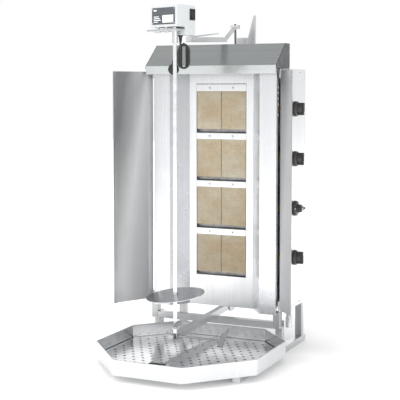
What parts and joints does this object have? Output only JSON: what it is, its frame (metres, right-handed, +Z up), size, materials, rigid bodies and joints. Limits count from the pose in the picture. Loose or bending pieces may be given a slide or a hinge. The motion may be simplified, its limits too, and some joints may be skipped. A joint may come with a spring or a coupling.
{
  "type": "vertical gas rotisserie grill",
  "caption": "Free-standing steel gas grill: a column of ceramic burners with folding side wings, a motor-turned upright skewer with meat plate, and an octagonal drip tray.",
  "frame": {"origin": "centre of the underside of the floor-level cross rail, on the floor and in the stand's plane of symmetry", "axes": "+X to the right seen from the front, where the controls are; +Y to the back; +Z up"},
  "size_m": [0.578, 0.71, 1.066],
  "materials": {
    "satin_steel": "satin, ground along the sheet",
    "tube_steel": "satin, welded square tube",
    "polished_steel": "polished",
    "dark_steel": "matt, heat darkened",
    "burner_steel": "pressed sheet, heat tinted",
    "ceramic": "matt, finely perforated",
    "brass": "machined",
    "copper_pipe": "drawn tube",
    "zinc": "zinc plated",
    "knob_black": "semi-gloss with a white mark",
    "plastic_black": "fine grain",
    "plastic_grey": "fine grain",
    "case_grey": "smooth powder coat",
    "motor_grey": "cast and painted",
    "rubber_black": "matt",
    "cord_black": "soft matt sheath"
  },
  "bodies": {
    "stand": {"floor_frame": "tube_steel", "rail_caps": "plastic_grey", "rear_legs": "tube_steel", "front_posts": "tube_steel", "front_crossbar": "tube_steel", "left_side_wall": "satin_steel", "right_side_wall": "satin_steel", "rear_cover": "satin_steel", "top_plate": "satin_steel", "bottom_plate": "satin_steel", "left_column": "satin_steel", "right_column": "satin_steel", "burner_frame": "satin_steel", "burner_bodies": "burner_steel", "ceramic_tiles": "ceramic", "burner_strips": "satin_steel", "housing_screws": "zinc", "gas_manifold": "zinc", "gas_taps": "brass", "feed_pipes": "copper_pipe", "gas_inlet": "zinc", "control_cover": "satin_steel", "knob_bezels": "plastic_black", "hood": "satin_steel", "hood_cheeks": "dark_steel", "wing_pins": "tube_steel", "lower_arm_guide": "tube_steel", "upper_arm_track": "tube_steel", "rear_upright": "satin_steel"},
    "left_wing": {"left_wing": "satin_steel"},
    "right_wing": {"right_wing": "satin_steel"},
    "knob_1": {"knob_1": "knob_black"},
    "knob_2": {"knob_2": "knob_black"},
    "knob_3": {"knob_3": "knob_black"},
    "knob_4": {"knob_4": "knob_black"},
    "lower_arm": {"lower_arm": "tube_steel", "bearing_block": "tube_steel", "clamp_bolt": "zinc"},
    "clamp_lever": {"clamp_lever": "tube_steel"},
    "skewer": {"skewer": "polished_steel"},
    "meat_plate": {"meat_plate": "polished_steel", "plate_screw": "zinc"},
    "upper_arm": {"upper_arm": "tube_steel", "arm_gusset": "tube_steel", "arm_pillar": "dark_steel", "drive_plate": "satin_steel", "plate_bolts": "zinc", "gear_casing": "case_grey", "motor_case": "case_grey", "gear_motor": "motor_grey", "switch_bezel": "plastic_black", "cord_gland": "rubber_black", "cord_lead": "cord_black", "cord_hank": "cord_black", "plug": "rubber_black"},
    "switch_rocker": {"switch_rocker": "plastic_black"},
    "drive_socket": {"drive_socket": "tube_steel"},
    "drip_tray": {"drip_tray": "polished_steel"},
    "left_insert": {"left_insert": "satin_steel"},
    "right_insert": {"right_insert": "satin_steel"}
  },
  "joints": [
    {"name": "left_wing_hinge", "type": "hinge", "parent": "stand", "child": "left_wing", "pos_m": [-0.216, -0.001, 0.5], "axis": [0, 0, -1], "range_deg": [-9, 61]},
    {"name": "right_wing_hinge", "type": "hinge", "parent": "stand", "child": "right_wing", "pos_m": [0.216, -0.001, 0.5], "axis": [0, 0, 1], "range_deg": [-21, 49]},
    {"name": "knob_1_turn", "type": "hinge", "parent": "stand", "child": "knob_1", "pos_m": [0.255, 0.035, 0.765], "axis": [1, 0, 0], "range_deg": [-180, 0]},
    {"name": "knob_2_turn", "type": "hinge", "parent": "stand", "child": "knob_2", "pos_m": [0.255, 0.035, 0.612], "axis": [1, 0, 0], "range_deg": [-180, 0]},
    {"name": "knob_3_turn", "type": "hinge", "parent": "stand", "child": "knob_3", "pos_m": [0.255, 0.035, 0.459], "axis": [1, 0, 0], "range_deg": [-90, 90]},
    {"name": "knob_4_turn", "type": "hinge", "parent": "stand", "child": "knob_4", "pos_m": [0.255, 0.035, 0.306], "axis": [1, 0, 0], "range_deg": [0, 180]},
    {"name": "lower_arm_slide", "type": "slide", "parent": "stand", "child": "lower_arm", "axis": [0, 0.999, 0.0436], "range_m": [-0.036, 0.036]},
    {"name": "upper_arm_slide", "type": "slide", "parent": "stand", "child": "upper_arm", "axis": [0, 0.999, 0.0436], "range_m": [-0.036, 0.036]},
    {"name": "clamp_lever_turn", "type": "hinge", "parent": "lower_arm", "child": "clamp_lever", "pos_m": [0.05, -0.285, 0.104], "axis": [1, 0, 0], "range_deg": [-60, 90]},
    {"name": "skewer_spin", "type": "hinge", "parent": "lower_arm", "child": "skewer", "pos_m": [0, -0.289, 0.2], "axis": [0, 0, 1], "continuous": true},
    {"name": "meat_plate_height", "type": "slide", "parent": "skewer", "child": "meat_plate", "axis": [0, 0, 1], "range_m": [-0.04, 0.3]},
    {"name": "drive_socket_spin", "type": "hinge", "parent": "upper_arm", "child": "drive_socket", "pos_m": [0, -0.289, 0.98], "axis": [0, 0, 1], "continuous": true},
    {"name": "switch_rock", "type": "hinge", "parent": "upper_arm", "child": "switch_rocker", "pos_m": [0.03706, -0.25583, 1.039], "axis": [0.309, 0.9511, 0], "range_deg": [0, 13]},
    {"name": "drip_tray_slide", "type": "slide", "parent": "stand", "child": "drip_tray", "axis": [0, -1, 0], "range_m": [0, 0.35]},
    {"name": "left_insert_lift", "type": "slide", "parent": "drip_tray", "child": "left_insert", "axis": [0, 0, 1], "range_m": [0, 0.025]},
    {"name": "right_insert_lift", "type": "slide", "parent": "drip_tray", "child": "right_insert", "axis": [0, 0, 1], "range_m": [0, 0.025]}
  ],
  "couplings": [
    {"joint": "upper_arm_slide", "follows": "lower_arm_slide", "ratio": 1},
    {"joint": "drive_socket_spin", "follows": "skewer_spin", "ratio": 1}
  ]
}
